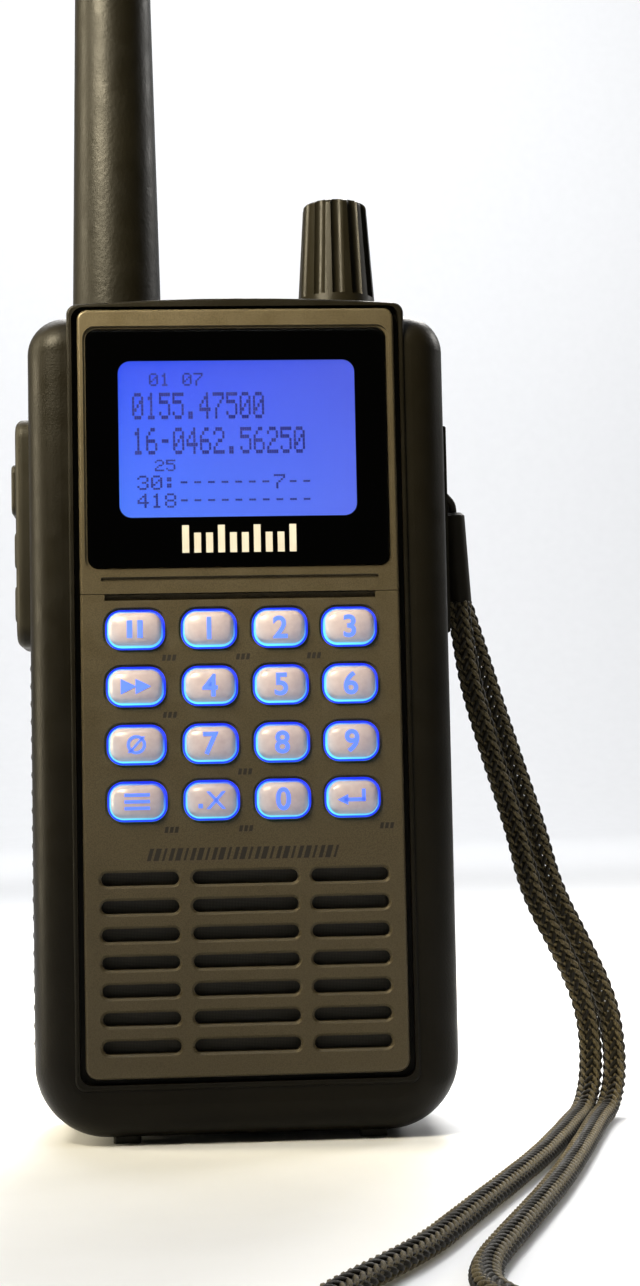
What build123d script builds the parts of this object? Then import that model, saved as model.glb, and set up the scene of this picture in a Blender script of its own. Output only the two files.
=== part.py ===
from build123d import *
from math import atan2, cos, degrees, radians, sin, tan
import os

# A handheld scanning receiver. It stands upright on four small feet, its front faces -Y
# and +Z is up. The origin is on the ground under the middle of its box. Sizes are in
# millimetres. A "depth" is a distance behind the front face.

# ---- Driving dimensions: case ----
FRONT = -20.5  # y of the front face
BODY_WIDTH = 61.0
BODY_DEPTH = 31.0
BODY_BOTTOM = 1.0
WING_TOP = 119.7  # top of the black side shells
WING_SETBACK = 0.3  # depth of their front face
WING_TOP_CORNER = 5.5
WING_LOW_CORNER = 10.5
FRONT_ROUND = 5.0
REAR_ROUND = 3.0
BLOCK_WIDTH = 49.0  # the middle block stands a little above the wings
BLOCK_SHOULDER = 120.7
BLOCK_CROWN = 121.6
BLOCK_BOTTOM = 8.1
BLOCK_CORNER = 1.5
WALL = 2.0
REAR_WALL = 2.9
SPLIT = 15.0  # depth of the joint between the front and rear shells
CAVITY_TOP = WING_TOP - WALL

# ---- Driving dimensions: front panels ----
PANEL_WIDTH = 46.0
PANEL_THICK = 1.7
PANEL_LOW = 9.7
PANEL_TOP = 120.0
PANEL_PART = 78.5  # height of the line between the two panels
PANEL_CORNER = 1.8
PANEL_GAP = 0.8
PANEL_EDGE = 0.45  # rounding of the outer front edges
LEDGE_BACK = 3.2  # depth of the back of the ledge the panels lie on
LENS_WIDTH = 43.7
LENS_LOW = 82.2
LENS_TOP = 117.2
WINDOW_WIDTH = 34.4
WINDOW_LOW = 89.7
WINDOW_TOP = 112.6
LCD_WIDTH = 38.0
LCD_LOW = 86.5
LCD_TOP = 115.5

# ---- Driving dimensions: keys ----
KEY_ROWS = [73.4, 65.2, 56.9, 48.8]
KEY_COLUMNS = [-15.2, -4.6, 5.6, 15.6]
KEY_NAMES = [
    ["hold", "1", "2", "3"],
    ["scan", "4", "5", "6"],
    ["lockout", "7", "8", "9"],
    ["menu", "no", "0", "enter"],
]
WIDE_HOLE = 8.6  # holes of the left column
KEY_HOLE = 8.1
KEY_HOLE_HEIGHT = 5.8
KEY_HOLE_CORNER = 2.3
KEY_CLEARANCE = 0.35
KEY_PROUD = 1.0
FLANGE_FRONT = 1.9
FLANGE_BACK = 2.5
FLANGE_MARGIN = 0.4
STEM_RADIUS = 1.5
STEM_BACK = 5.8
MAT_FRONT = 3.4
MAT_BACK = 4.2
BOARD_FRONT = 7.0
BOARD_BACK = 8.0
DOME_THICK = 0.45

# ---- Driving dimensions: speaker grille ----
SLOT_COLUMNS = [(-15.0, 11.1), (0.0, 15.1), (15.0, 11.1)]  # centre and length
SLOT_TOP = 37.8
SLOT_PITCH = 3.95
SLOT_COUNT = 7
SLOT_HEIGHT = 1.9
SLOT_LIP = 0.35
SPEAKER_HEIGHT = 25.3
SPEAKER_RADIUS = 15.0

# ---- Driving dimensions: inside ----
BOARD_HALF = 22.3
MAIN_FRONT = 11.2
MAIN_BACK = 12.4
MAIN_TOP = 102.5
CELL_RADIUS = 7.1
CELL_LENGTH = 50.5
CELL_PITCH = 14.5
CELL_DEPTH = 22.0
CELL_LOW = 13.2
TRAY_HALF = 22.6
TRAY_WALL = 0.8
TRAY_FRONT = 13.5
TRAY_LOW = 9.0
TRAY_TOP = 68.0
DOOR_HALF = 22.5
DOOR_TOP = 69.7
DOOR_FRONT = 29.4
DOOR_SLACK = 0.1
BOSS_X = 25.4
BOSS_HEIGHTS = [20.0, 108.0]
BOSS_RADIUS = 2.5
SCREW_RADIUS = 1.0
SCREW_HEAD = 1.7

# ---- Driving dimensions: top ----
TOP_DEPTH = 15.5  # depth of the antenna, earphone socket and knob axes
ANTENNA_X = -17.7
ANTENNA_LOW = 122.0
ANTENNA_LENGTH = 175.0
ANTENNA_BASE = 6.7  # radii
ANTENNA_TIP = 3.5
THREAD_RADIUS = 3.1
FERRULE_RADIUS = 4.4
EARPHONE_X = -1.0
EARPHONE_BORE = 1.8
KNOB_X = 15.8
KNOB_LOW = 122.3
KNOB_TOP = 139.4
KNOB_BASE = 6.0  # radii
KNOB_TIP = 4.85
KNOB_SKIRT = 2.4
FLUTES = 12
FLUTE_RADIUS = 1.05
FLUTE_OFFSET = 0.25  # how far its axis stands outside the knob's surface
SHAFT_RADIUS = 3.0
RUNNING = 0.06  # radial clearance of a turning or sliding fit

# ---- Driving dimensions: sides ----
POD_LOW = 71.8
POD_TOP = 105.8
POD_FRONT = 8.0
POD_BACK = 22.0
POD_PROUD = 2.3
SIDE_KEYS = {"function": (95.5, 7.6, 3.1), "menu": (86.4, 5.6, 2.7), "light": (78.4, 5.6, 2.7)}
COVER_LOW = 73.0
COVER_TOP = 104.0
COVER_FRONT = 9.0
COVER_BACK = 18.8
COVER_THICK = 0.8
COVER_LIFT = 0.1
JACK_DEPTH = 13.5
DC_HEIGHT = 80.0
DC_BORE = 2.75
DATA_HEIGHT = 94.0
DATA_WIDTH = 4.4
DATA_LENGTH = 7.6

# ---- Driving dimensions: belt clip ----
CLIP_DEPTH = 11.0  # how far the clip reaches behind the rear face
CLIP_PIN_Z = 86.0
CLIP_PIN_DEPTH = 36.4
CLIP_PIN_RADIUS = 1.0
CLIP_HALF = 9.0
CLIP_TOP = 97.0
CLIP_LOW = 50.0
CLIP_PLATE = 2.6
EAR_THICK = 2.0

# ---- Driving dimensions: strap ----
LUG_DEPTH = 23.0
LUG_Z = 96.7
LUG_REACH = 1.7
STRING_RADIUS = 0.6
SLEEVE_RADIUS = 1.75
SLEEVE_HIGH = 92.5
SLEEVE_LOW = 78.5
CORD_RADIUS = 1.6


def facing(depth):
    """Plane parallel to the front: local x is +X, local y is +Z, the normal faces forward."""
    return Plane(origin=(0, FRONT + depth, 0), x_dir=(1, 0, 0), z_dir=(0, -1, 0))


def left_side(x):
    """Plane facing -X: local x is -Y and local y is +Z."""
    return Plane(origin=(x, 0, 0), x_dir=(0, -1, 0), z_dir=(-1, 0, 0))


def right_side(x):
    """Plane facing +X: local x is +Y and local y is +Z."""
    return Plane(origin=(x, 0, 0), x_dir=(0, 1, 0), z_dir=(1, 0, 0))


def above(x, depth, z):
    """Level plane centred over a point of the plan."""
    return Plane(origin=(x, FRONT + depth, z))


def write(piece, name):
    """Label a finished piece and write its STEP file."""
    piece.part.label = name
    export_step(piece.part, f"parts/{name}.step")


def wing_outline(inset=0.0):
    """Front outline of the case, in the sketch that is open."""
    half = BODY_WIDTH / 2 - inset
    low = BODY_BOTTOM + inset
    with BuildLine() as outline:
        Polyline((-half, low), (half, low), (half, WING_TOP - inset), (-half, WING_TOP - inset), close=True)
    make_face(outline.edges())
    fillet(vertices().group_by(Axis.Y)[0], WING_LOW_CORNER - inset)
    fillet(vertices().group_by(Axis.Y)[-1], WING_TOP_CORNER - inset)


def block_outline():
    """Outline of the middle block, with its slightly arched top."""
    half = BLOCK_WIDTH / 2
    with BuildLine() as outline:
        ThreePointArc((-half, BLOCK_SHOULDER), (0, BLOCK_CROWN), (half, BLOCK_SHOULDER))
        Polyline((half, BLOCK_SHOULDER), (half, BLOCK_BOTTOM), (-half, BLOCK_BOTTOM), (-half, BLOCK_SHOULDER))
    make_face(outline.edges())
    fillet(vertices(), BLOCK_CORNER)


def span(low, high, half, corner=0.0):
    """Rectangle of the front view, centred on X, from one height to another."""
    with Locations((0, (low + high) / 2)):
        if corner:
            RectangleRounded(2 * half, high - low, corner)
        else:
            Rectangle(2 * half, high - low)


def slab(low, high, half, front, back, mode=Mode.ADD, corner=0.0):
    """Plate parallel to the front, between two depths."""
    with BuildSketch(facing(front)) as profile:
        span(low, high, half, corner)
    extrude(profile.sketch, amount=front - back, mode=mode)


def pillar(x, z, radius, front, back, mode=Mode.ADD):
    """Cylinder along the depth of the case."""
    with BuildSketch(facing(front)) as profile:
        with Locations((x, z)):
            Circle(radius)
    extrude(profile.sketch, amount=front - back, mode=mode)


def post(x, depth, low, high, radius, mode=Mode.ADD):
    """Upright cylinder."""
    with BuildSketch(above(x, depth, low)) as profile:
        Circle(radius)
    extrude(profile.sketch, amount=high - low, mode=mode)


def key_hole_width(column):
    return WIDE_HOLE if column == 0 else KEY_HOLE


def wall_openings():
    """Holes in the case walls that both shells share, cut from the part that is open."""
    post(ANTENNA_X, TOP_DEPTH, CAVITY_TOP - 1, BLOCK_CROWN + 1, THREAD_RADIUS + 0.5, Mode.SUBTRACT)
    post(EARPHONE_X, TOP_DEPTH, CAVITY_TOP - 1, BLOCK_CROWN + 1, 3.0, Mode.SUBTRACT)
    post(KNOB_X, TOP_DEPTH, CAVITY_TOP - 1, BLOCK_CROWN + 1, SHAFT_RADIUS + 0.6, Mode.SUBTRACT)
    with BuildSketch(right_side(BODY_WIDTH / 2 + 1)) as sockets:
        with Locations((FRONT + JACK_DEPTH, DC_HEIGHT)):
            Circle(3.4)
        with Locations((FRONT + JACK_DEPTH, DATA_HEIGHT)):
            Rectangle(DATA_WIDTH, DATA_LENGTH)
    extrude(sockets.sketch, amount=-(WALL + 2), mode=Mode.SUBTRACT)


os.makedirs("parts", exist_ok=True)

# ---- Case ----
with BuildPart() as middle_block:
    with BuildSketch(facing(0)):
        block_outline()
    extrude(amount=-(BODY_DEPTH - 0.6))
    fillet(faces().sort_by(Axis.Y)[0].edges(), 0.4)

with BuildPart() as case_form:
    with BuildSketch(facing(WING_SETBACK)):
        wing_outline()
    extrude(amount=WING_SETBACK - BODY_DEPTH)
    fillet(faces().sort_by(Axis.Y)[0].edges(), FRONT_ROUND)
    fillet(faces().sort_by(Axis.Y)[-1].edges(), REAR_ROUND)
    add(middle_block.part)

with BuildPart() as front_shell:
    add(case_form.part)
    split(bisect_by=facing(SPLIT), keep=Keep.TOP)
    slab(PANEL_LOW - PANEL_GAP, PANEL_TOP + 0.4, PANEL_WIDTH / 2 + PANEL_GAP, -1, PANEL_THICK, Mode.SUBTRACT,
         PANEL_CORNER)
    with BuildSketch(facing(LEDGE_BACK)):
        wing_outline(WALL)
    extrude(amount=LEDGE_BACK - SPLIT, mode=Mode.SUBTRACT)
    slab(LCD_LOW - 0.5, LCD_TOP + 0.5, LCD_WIDTH / 2 + 0.5, 1, LEDGE_BACK + 1, Mode.SUBTRACT)
    slab(44.5, 77.5, 21.2, 1, LEDGE_BACK + 1, Mode.SUBTRACT, 1.0)
    slab(10.5, 40.0, 22.0, 1, LEDGE_BACK + 1, Mode.SUBTRACT, 1.0)
    for side in (-1, 1):
        for height in BOSS_HEIGHTS:
            pillar(side * BOSS_X, height, BOSS_RADIUS, LEDGE_BACK - 0.4, SPLIT)
            with BuildSketch(facing(LEDGE_BACK - 0.4)):
                with Locations((side * (BOSS_X + 1.8), height)):
                    Rectangle(3.4, 1.2)
            extrude(amount=LEDGE_BACK - 0.4 - SPLIT)
            pillar(side * BOSS_X, height, SCREW_RADIUS, 8.0, SPLIT, Mode.SUBTRACT)
    wall_openings()
write(front_shell, "front_shell")

with BuildPart() as rear_shell:
    add(case_form.part)
    split(bisect_by=facing(SPLIT), keep=Keep.BOTTOM)
    with BuildSketch(facing(SPLIT)):
        wing_outline(WALL)
    extrude(amount=SPLIT - (BODY_DEPTH - REAR_WALL), mode=Mode.SUBTRACT)
    slab(TRAY_LOW, TRAY_TOP, TRAY_HALF, TRAY_FRONT, BODY_DEPTH - 1)
    for side in (-1, 1):
        for height in BOSS_HEIGHTS:
            pillar(side * BOSS_X, height, BOSS_RADIUS, SPLIT, BODY_DEPTH - REAR_WALL + 0.4)
            with BuildSketch(facing(SPLIT)):
                with Locations((side * (BOSS_X + 1.8), height)):
                    Rectangle(3.4, 1.2)
            extrude(amount=SPLIT - BODY_DEPTH + REAR_WALL - 0.4)
            pillar(side * BOSS_X, height, SCREW_RADIUS + 0.1, SPLIT - 1, BODY_DEPTH + 1, Mode.SUBTRACT)
            pillar(side * BOSS_X, height, SCREW_HEAD + 0.2, BODY_DEPTH - 1.8, BODY_DEPTH + 1, Mode.SUBTRACT)
    slab(TRAY_LOW + 1, TRAY_TOP - 1, TRAY_HALF - TRAY_WALL, TRAY_FRONT + 1, BODY_DEPTH + 1, Mode.SUBTRACT)
    slab(-1, DOOR_TOP + DOOR_SLACK, DOOR_HALF + DOOR_SLACK, DOOR_FRONT - DOOR_SLACK, BODY_DEPTH + 1,
         Mode.SUBTRACT)
    with BuildSketch(right_side(BODY_WIDTH / 2 - 0.5)):
        with Locations((FRONT + LUG_DEPTH, LUG_Z)):
            RectangleRounded(1.8, 4.4, 0.6)
    extrude(amount=LUG_REACH + 0.5)
    with BuildSketch(facing(LUG_DEPTH - 3)):
        with Locations((BODY_WIDTH / 2 + LUG_REACH - 1.2, LUG_Z)):
            SlotOverall(2.6, 1.6, rotation=90)
    extrude(amount=-6, mode=Mode.SUBTRACT)
    wall_openings()
write(rear_shell, "rear_shell")

# ---- Front panels and display ----
with BuildPart() as display_bezel:
    slab(PANEL_PART + 0.1, PANEL_TOP, PANEL_WIDTH / 2, 0, PANEL_THICK)
    fillet(edges().filter_by(Axis.Y).group_by(Axis.Z)[-1], PANEL_CORNER - 0.3)
    fillet(faces().sort_by(Axis.Y)[0].edges().group_by(Axis.Z)[1:], PANEL_EDGE)
    slab(LENS_LOW - 0.35, LENS_TOP + 0.35, LENS_WIDTH / 2 + 0.35, -1, 0.35, Mode.SUBTRACT, 1.8)
    slab(LENS_LOW, LENS_TOP, LENS_WIDTH / 2, 0, PANEL_THICK, Mode.SUBTRACT, 1.6)
    with BuildSketch(facing(0)):
        with Locations((0, PANEL_PART + 2.2)):
            SlotOverall(40.0, 0.6)
    extrude(amount=-0.35, mode=Mode.SUBTRACT)
write(display_bezel, "display_bezel")

with BuildPart() as keypad_panel:
    slab(PANEL_LOW, PANEL_PART, PANEL_WIDTH / 2, 0, PANEL_THICK)
    fillet(edges().filter_by(Axis.Y).group_by(Axis.Z)[0], PANEL_CORNER)
    fillet(faces().sort_by(Axis.Y)[0].edges().group_by(Axis.Z)[:-1], PANEL_EDGE)
    for row, height in enumerate(KEY_ROWS):
        for column, x in enumerate(KEY_COLUMNS):
            for margin, depth in ((0.3, 0.3), (0.0, PANEL_THICK)):
                with BuildSketch(facing(0)):
                    with Locations((x, height)):
                        RectangleRounded(key_hole_width(column) + 2 * margin, KEY_HOLE_HEIGHT + 2 * margin,
                                         KEY_HOLE_CORNER + margin)
                extrude(amount=-depth, mode=Mode.SUBTRACT)
    for x, length in SLOT_COLUMNS:
        for row in range(SLOT_COUNT):
            height = SLOT_TOP - row * SLOT_PITCH
            with BuildSketch(facing(0)):
                with Locations((x, height)):
                    SlotOverall(length + 2 * SLOT_LIP, SLOT_HEIGHT + 2 * SLOT_LIP)
            extrude(amount=-SLOT_LIP, taper=45, mode=Mode.SUBTRACT)
            with BuildSketch(facing(0)):
                with Locations((x, height)):
                    SlotOverall(length, SLOT_HEIGHT)
            extrude(amount=-PANEL_THICK, mode=Mode.SUBTRACT)
    slab(PANEL_PART - 0.9, PANEL_PART + 1, 19.5, -1, 0.9, Mode.SUBTRACT)
write(keypad_panel, "keypad_panel")

with BuildPart() as display_lens:
    slab(LENS_LOW, LENS_TOP, LENS_WIDTH / 2, 0.15, 1.45, corner=1.6)
    chamfer(faces().sort_by(Axis.Y)[0].edges(), 0.2)
write(display_lens, "display_lens")

with BuildPart() as display_mask:
    slab(LENS_LOW + 0.3, LENS_TOP - 0.3, LENS_WIDTH / 2 - 0.3, 1.45, 1.6, corner=1.4)
    slab(WINDOW_LOW, WINDOW_TOP, WINDOW_WIDTH / 2, 1, 2, Mode.SUBTRACT, 1.8)
write(display_mask, "display_mask")

with BuildPart() as lcd_glass:
    slab(LCD_LOW, LCD_TOP, LCD_WIDTH / 2, 1.9, 3.4)
write(lcd_glass, "lcd_glass")

with BuildPart() as lcd_backlight:
    slab(LCD_LOW, LCD_TOP, LCD_WIDTH / 2, 3.4, 6.0)
    slab(LCD_LOW + 6, LCD_TOP - 6, LCD_WIDTH / 2 - 8, 6.0, BOARD_FRONT)
write(lcd_backlight, "lcd_backlight")

# ---- Keys ----
for row, height in enumerate(KEY_ROWS):
    for column, x in enumerate(KEY_COLUMNS):
        cap_width = key_hole_width(column) - 2 * KEY_CLEARANCE
        cap_height = KEY_HOLE_HEIGHT - 2 * KEY_CLEARANCE
        with BuildPart() as key:
            with BuildSketch(facing(-KEY_PROUD)):
                with Locations((x, height)):
                    RectangleRounded(cap_width, cap_height, KEY_HOLE_CORNER - KEY_CLEARANCE)
            extrude(amount=-(KEY_PROUD + FLANGE_FRONT))
            fillet(faces().sort_by(Axis.Y)[0].edges(), 0.8)
            with BuildSketch(facing(FLANGE_FRONT)):
                with Locations((x, height)):
                    RectangleRounded(key_hole_width(column) + 2 * FLANGE_MARGIN,
                                     KEY_HOLE_HEIGHT + 2 * FLANGE_MARGIN, KEY_HOLE_CORNER)
            extrude(amount=FLANGE_FRONT - FLANGE_BACK)
            pillar(x, height, STEM_RADIUS, FLANGE_BACK, STEM_BACK)
        write(key, f"key_{KEY_NAMES[row][column]}")

with BuildPart() as keypad_mat:
    slab(44.8, 77.2, 20.8, MAT_FRONT, MAT_BACK, corner=1.0)
    for height in KEY_ROWS:
        for x in KEY_COLUMNS:
            pillar(x, height, STEM_RADIUS + 0.3, MAT_FRONT - 1, MAT_BACK + 1, Mode.SUBTRACT)
write(keypad_mat, "keypad_mat")

with BuildPart() as snap_domes:
    for height in KEY_ROWS:
        for x in KEY_COLUMNS:
            with BuildSketch(facing(BOARD_FRONT)):
                with Locations((x, height)):
                    Circle(2.5)
            extrude(amount=DOME_THICK, taper=45)
write(snap_domes, "snap_domes")

# ---- Boards ----
with BuildPart() as front_board:
    slab(9.0, 116.0, BOARD_HALF, BOARD_FRONT, BOARD_BACK)
    pillar(0, SPEAKER_HEIGHT, SPEAKER_RADIUS + 0.4, BOARD_FRONT - 1, BOARD_BACK + 1, Mode.SUBTRACT)
write(front_board, "front_board")

with BuildPart() as main_board:
    slab(9.0, MAIN_TOP, BOARD_HALF, MAIN_FRONT, MAIN_BACK)
    with BuildSketch(facing(MAIN_FRONT - 1)):
        with Locations((BOARD_HALF, (DC_HEIGHT + DATA_HEIGHT) / 2)):
            Rectangle(5.0, DATA_HEIGHT - DC_HEIGHT + 10)
    extrude(amount=-4, mode=Mode.SUBTRACT)
    slab(38.5, 46.0, 8, BOARD_BACK, MAIN_FRONT)
    slab(37.5, 47.0, 9, MAIN_FRONT - 1.2, MAIN_FRONT)
write(main_board, "main_board")

with BuildPart() as shield_cans:
    for x, height, width, tall in ((-10, 84, 18, 26), (9, 88, 14, 20), (0, 58, 30, 18)):
        with BuildSketch(facing(9.3)):
            with Locations((x, height)):
                RectangleRounded(width, tall, 1.0)
        extrude(amount=9.3 - MAIN_FRONT)
write(shield_cans, "shield_cans")

# ---- Speaker ----
with BuildPart() as speaker_frame:
    pillar(0, SPEAKER_HEIGHT, SPEAKER_RADIUS, LEDGE_BACK + 0.1, 4.3)
    pillar(0, SPEAKER_HEIGHT, 13.4, 4.3, 6.2)
    pillar(0, SPEAKER_HEIGHT, 8.0, 6.2, 8.8)
    pillar(0, SPEAKER_HEIGHT, 12.6, LEDGE_BACK, 4.3, Mode.SUBTRACT)
    pillar(0, SPEAKER_HEIGHT, 11.0, 4.0, 5.6, Mode.SUBTRACT)
write(speaker_frame, "speaker_frame")

with BuildPart() as speaker_cone:
    with BuildSketch(Plane(origin=(0, FRONT, SPEAKER_HEIGHT), x_dir=(1, 0, 0), z_dir=(0, 0, 1))):
        with BuildLine():
            Polyline((0, 3.4), (4.0, 4.2), (11.5, 3.4), (12.4, 3.7), (11.5, 4.0), (4.0, 5.0), (0, 4.2),
                     close=True)
        make_face()
    revolve(axis=Axis((0, FRONT, SPEAKER_HEIGHT), (0, 1, 0)))
write(speaker_cone, "speaker_cone")

with BuildPart() as speaker_cloth:
    slab(10.7, 39.8, 21.8, 1.75, 2.05, corner=1.0)
write(speaker_cloth, "speaker_cloth")

# ---- Keys on the left side ----
with BuildPart() as side_key_frame:
    with BuildSketch(left_side(-BODY_WIDTH / 2)):
        with Locations((-(FRONT + (POD_FRONT + POD_BACK) / 2), (POD_LOW + POD_TOP) / 2)):
            RectangleRounded(POD_BACK - POD_FRONT, POD_TOP - POD_LOW, 3.0)
    extrude(amount=POD_PROUD)
    fillet(faces().sort_by(Axis.X)[0].edges(), 1.2)
    for height, tall, proud in SIDE_KEYS.values():
        for margin, reach in ((0.6, 1.2), (0.0, POD_PROUD + 1)):
            with BuildSketch(left_side(-BODY_WIDTH / 2)):
                with Locations((-(FRONT + (POD_FRONT + POD_BACK) / 2), height)):
                    RectangleRounded(8.6 + 2 * margin, tall + 0.5 + 2 * margin, 1.6)
            extrude(amount=reach, mode=Mode.SUBTRACT)
write(side_key_frame, "side_key_frame")

for name, (height, tall, proud) in SIDE_KEYS.items():
    with BuildPart() as side_key:
        for margin, start, end in ((0.4, 0.55, 1.1), (-0.25, 1.1, proud)):
            with BuildSketch(left_side(-BODY_WIDTH / 2 - start)):
                with Locations((-(FRONT + (POD_FRONT + POD_BACK) / 2), height)):
                    RectangleRounded(8.6 + 2 * margin, tall + 0.5 + 2 * margin, 1.3)
            extrude(amount=end - start)
        fillet(faces().sort_by(Axis.X)[0].edges(), 0.5)
        if name == "function":
            for step in (-2, -1, 0, 1, 2):
                with BuildSketch(left_side(-BODY_WIDTH / 2 - proud + 0.3)):
                    with Locations((-(FRONT + (POD_FRONT + POD_BACK) / 2), height + 1.35 * step)):
                        Rectangle(6.4, 0.5)
                extrude(amount=1, mode=Mode.SUBTRACT)
    write(side_key, f"side_key_{name}")

# ---- Sockets and their cover on the right side ----
with BuildPart() as jack_cover:
    with BuildSketch(right_side(BODY_WIDTH / 2 + COVER_LIFT)):
        with Locations((FRONT + (COVER_FRONT + COVER_BACK) / 2, (COVER_LOW + COVER_TOP) / 2)):
            Rectangle(COVER_BACK - COVER_FRONT, COVER_TOP - COVER_LOW)
        fillet(vertices().group_by(Axis.X)[-1], 2.4)
    extrude(amount=COVER_THICK)
    fillet(faces().sort_by(Axis.X)[-1].edges().group_by(Axis.Y)[-1], 0.3)
write(jack_cover, "jack_cover")

with BuildPart() as dc_jack:
    with BuildSketch(right_side(20.4)):
        with Locations((FRONT + JACK_DEPTH, DC_HEIGHT)):
            Rectangle(7.4, 9.0)
    extrude(amount=8.0)
    with BuildSketch(right_side(28.4)):
        with Locations((FRONT + JACK_DEPTH, DC_HEIGHT)):
            Circle(3.3)
    extrude(amount=1.9)
    with BuildSketch(right_side(30.3)):
        with Locations((FRONT + JACK_DEPTH, DC_HEIGHT)):
            Circle(DC_BORE)
            Circle(0.6, mode=Mode.SUBTRACT)
    extrude(amount=-8.5, mode=Mode.SUBTRACT)
write(dc_jack, "dc_jack")

with BuildPart() as data_jack:
    with BuildSketch(right_side(22.6)):
        with Locations((FRONT + JACK_DEPTH, DATA_HEIGHT)):
            Rectangle(DATA_WIDTH - 0.2, DATA_LENGTH - 0.2)
    extrude(amount=7.6)
    with BuildSketch(right_side(30.2)):
        with Locations((FRONT + JACK_DEPTH, DATA_HEIGHT)):
            Rectangle(DATA_WIDTH - 1.2, DATA_LENGTH - 1.2)
            Rectangle(1.0, DATA_LENGTH - 3.0, mode=Mode.SUBTRACT)
    extrude(amount=-6.0, mode=Mode.SUBTRACT)
write(data_jack, "data_jack")

# ---- Earphone socket ----
with BuildPart() as headphone_jack:
    with BuildSketch(above(EARPHONE_X, TOP_DEPTH, 103.0)):
        Rectangle(8.0, 7.0)
    extrude(amount=CAVITY_TOP - 103.0)
    post(EARPHONE_X, TOP_DEPTH, CAVITY_TOP, BLOCK_CROWN + 0.5, 2.95)
    post(EARPHONE_X, TOP_DEPTH, BLOCK_CROWN + 0.5 - 14.0, BLOCK_CROWN + 1, EARPHONE_BORE, Mode.SUBTRACT)
write(headphone_jack, "headphone_jack")

# ---- Antenna ----
with BuildPart() as antenna_socket:
    post(ANTENNA_X, TOP_DEPTH, 112.0, 128.5, THREAD_RADIUS)
    post(ANTENNA_X, TOP_DEPTH, 113.0, CAVITY_TOP, 4.8)
    post(ANTENNA_X, TOP_DEPTH, 124.0, 129.0, 1.2, Mode.SUBTRACT)
write(antenna_socket, "antenna_socket")

with BuildPart() as antenna_ferrule:
    post(ANTENNA_X, TOP_DEPTH, 122.2, 131.5, FERRULE_RADIUS)
    post(ANTENNA_X, TOP_DEPTH, 122.0, 129.0, THREAD_RADIUS + RUNNING, Mode.SUBTRACT)
write(antenna_ferrule, "antenna_ferrule")

with BuildPart() as antenna_sheath:
    with BuildSketch(Plane(origin=(ANTENNA_X, FRONT + TOP_DEPTH, 0), x_dir=(1, 0, 0), z_dir=(0, -1, 0))):
        tip = ANTENNA_LOW + ANTENNA_LENGTH
        with BuildLine():
            Polyline((0, tip), (0, ANTENNA_LOW), (ANTENNA_BASE, ANTENNA_LOW), (ANTENNA_TIP, tip), close=True)
        make_face()
        fillet(vertices().group_by(Axis.Y)[-1].sort_by(Axis.X)[-1], ANTENNA_TIP - 0.6)
    revolve(axis=Axis((ANTENNA_X, FRONT + TOP_DEPTH, 0), (0, 0, 1)))
    post(ANTENNA_X, TOP_DEPTH, ANTENNA_LOW - 1, 131.8, FERRULE_RADIUS + RUNNING, Mode.SUBTRACT)
    fillet(edges().filter_by(GeomType.CIRCLE).group_by(Axis.Z)[0].sort_by(SortBy.RADIUS)[-1], 0.6)
write(antenna_sheath, "antenna_sheath")

# ---- Volume control ----
with BuildPart() as encoder_body:
    with BuildSketch(above(KNOB_X, TOP_DEPTH, 109.0)):
        Rectangle(12.0, 12.0)
    extrude(amount=CAVITY_TOP - 109.0)
    post(KNOB_X, TOP_DEPTH, CAVITY_TOP, 120.2, SHAFT_RADIUS + 0.55)
    post(KNOB_X, TOP_DEPTH, 110.0, 113.5, 4.5, Mode.SUBTRACT)
    post(KNOB_X, TOP_DEPTH, 113.5, 121.0, SHAFT_RADIUS + RUNNING, Mode.SUBTRACT)
write(encoder_body, "encoder_body")

with BuildPart() as encoder_plunger:
    post(KNOB_X, TOP_DEPTH, 111.2, 112.6, 4.2)
    post(KNOB_X, TOP_DEPTH, 111.0, 113.0, SHAFT_RADIUS + RUNNING, Mode.SUBTRACT)
write(encoder_plunger, "encoder_plunger")

with BuildPart() as encoder_shaft:
    post(KNOB_X, TOP_DEPTH, 110.8, 134.0, SHAFT_RADIUS)
write(encoder_shaft, "encoder_shaft")

knob_grip_low = KNOB_LOW + KNOB_SKIRT
knob_lean = degrees(atan2(KNOB_BASE - KNOB_TIP, KNOB_TOP - KNOB_LOW))
with BuildPart() as volume_knob:
    with BuildSketch(above(KNOB_X, TOP_DEPTH, KNOB_LOW)):
        Circle(KNOB_BASE)
    extrude(amount=KNOB_TOP - KNOB_LOW, taper=knob_lean)
    fillet(faces().sort_by(Axis.Z)[-1].edges(), 0.8)
    for flute in range(FLUTES):
        outward = Vector(1, 0, 0).rotate(Axis.Z, flute * 360 / FLUTES)
        start = Plane(origin=Vector(KNOB_X, FRONT + TOP_DEPTH, knob_grip_low) + outward * (KNOB_BASE + FLUTE_OFFSET),
                      z_dir=Vector(0, 0, 1) * cos(radians(knob_lean)) - outward * sin(radians(knob_lean)))
        with BuildSketch(start):
            Circle(FLUTE_RADIUS)
        extrude(amount=KNOB_TOP - KNOB_LOW, mode=Mode.SUBTRACT)
    post(KNOB_X, TOP_DEPTH, KNOB_LOW - 1, 134.0, SHAFT_RADIUS, Mode.SUBTRACT)
write(volume_knob, "volume_knob")

# ---- Battery compartment ----
with BuildPart() as battery_door:
    add(case_form.part)
    slab(-1, DOOR_TOP, DOOR_HALF, DOOR_FRONT, BODY_DEPTH + 1, Mode.INTERSECT)
    for step in range(5):
        with BuildSketch(facing(BODY_DEPTH - 0.4)):
            with Locations((0, DOOR_TOP - 5 - 1.6 * step)):
                SlotOverall(14 - 2 * step, 0.8)
        extrude(amount=-1, mode=Mode.SUBTRACT)
write(battery_door, "battery_door")

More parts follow.
